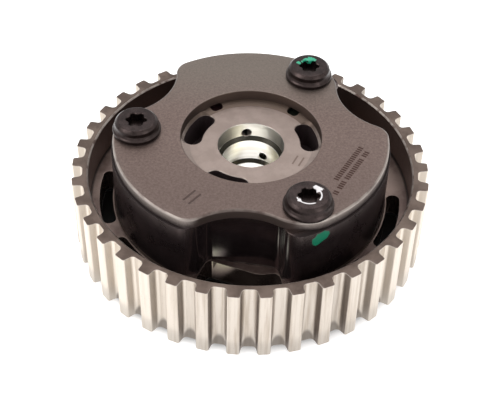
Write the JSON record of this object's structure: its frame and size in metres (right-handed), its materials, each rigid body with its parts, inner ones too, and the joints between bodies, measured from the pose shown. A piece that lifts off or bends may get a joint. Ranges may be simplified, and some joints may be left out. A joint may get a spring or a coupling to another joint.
{
  "type": "cam phaser",
  "caption": "Vane-type cam phaser with a toothed belt pulley, a lobed housing under a screwed front cover and a stepped oil bore.",
  "frame": {"origin": "on the camshaft axis, at the rear face of the pulley's rim", "axes": "+Z along the camshaft axis towards the front cover; +X lies where a tooth stands within a degree; the housing's lobes are at 85, 205 and 325 degrees about +Z"},
  "size_m": [0.0954, 0.0952, 0.0358],
  "materials": {
    "sintered_rim": "sintered steel, satin, tooth gaps polished by the belt",
    "blackened_housing": "sintered steel, blackened and glossy",
    "ground_cover": "ground plate, satin brown-grey",
    "black_screw": "black phosphate, satin",
    "sintered_rotor": "sintered steel, turned bore and ground face",
    "seal_strip": "filled PTFE, matt",
    "spring_leaf": "rolled spring strip",
    "spring_wire": "drawn spring wire",
    "hardened_steel": "hardened and ground"
  },
  "bodies": {
    "pulley_body": {"belt_pulley": "sintered_rim", "stator_housing": "blackened_housing", "front_cover": "ground_cover", "cover_screw_1": "black_screw", "cover_screw_2": "black_screw", "cover_screw_3": "black_screw", "stator_seal_1": "seal_strip", "stator_seal_2": "seal_strip", "stator_seal_3": "seal_strip", "stator_seal_spring_1": "spring_leaf", "stator_seal_spring_2": "spring_leaf", "stator_seal_spring_3": "spring_leaf", "lock_bush": "hardened_steel", "locating_dowel_1": "hardened_steel", "locating_dowel_2": "hardened_steel"},
    "rotor_body": {"rotor": "sintered_rotor", "vane_seal_1": "seal_strip", "vane_seal_2": "seal_strip", "vane_seal_3": "seal_strip", "vane_seal_spring_1": "spring_leaf", "vane_seal_spring_2": "spring_leaf", "vane_seal_spring_3": "spring_leaf", "lock_spring": "spring_wire", "lock_spring_cap": "hardened_steel"},
    "lock_pin_body": {"lock_pin": "hardened_steel"}
  },
  "joints": [
    {"name": "rotor_turn", "type": "hinge", "parent": "pulley_body", "child": "rotor_body", "pos_m": [0, 0, 0.0205], "axis": [0, 0, 1], "range_deg": [-22, 0]},
    {"name": "lock_pin_slide", "type": "slide", "parent": "rotor_body", "child": "lock_pin_body", "axis": [0, 0, 1], "range_m": [0, 0.0025], "stiffness_N_per_m": 500, "springref_m": -0.004, "deforming": ["lock_spring"]}
  ]
}
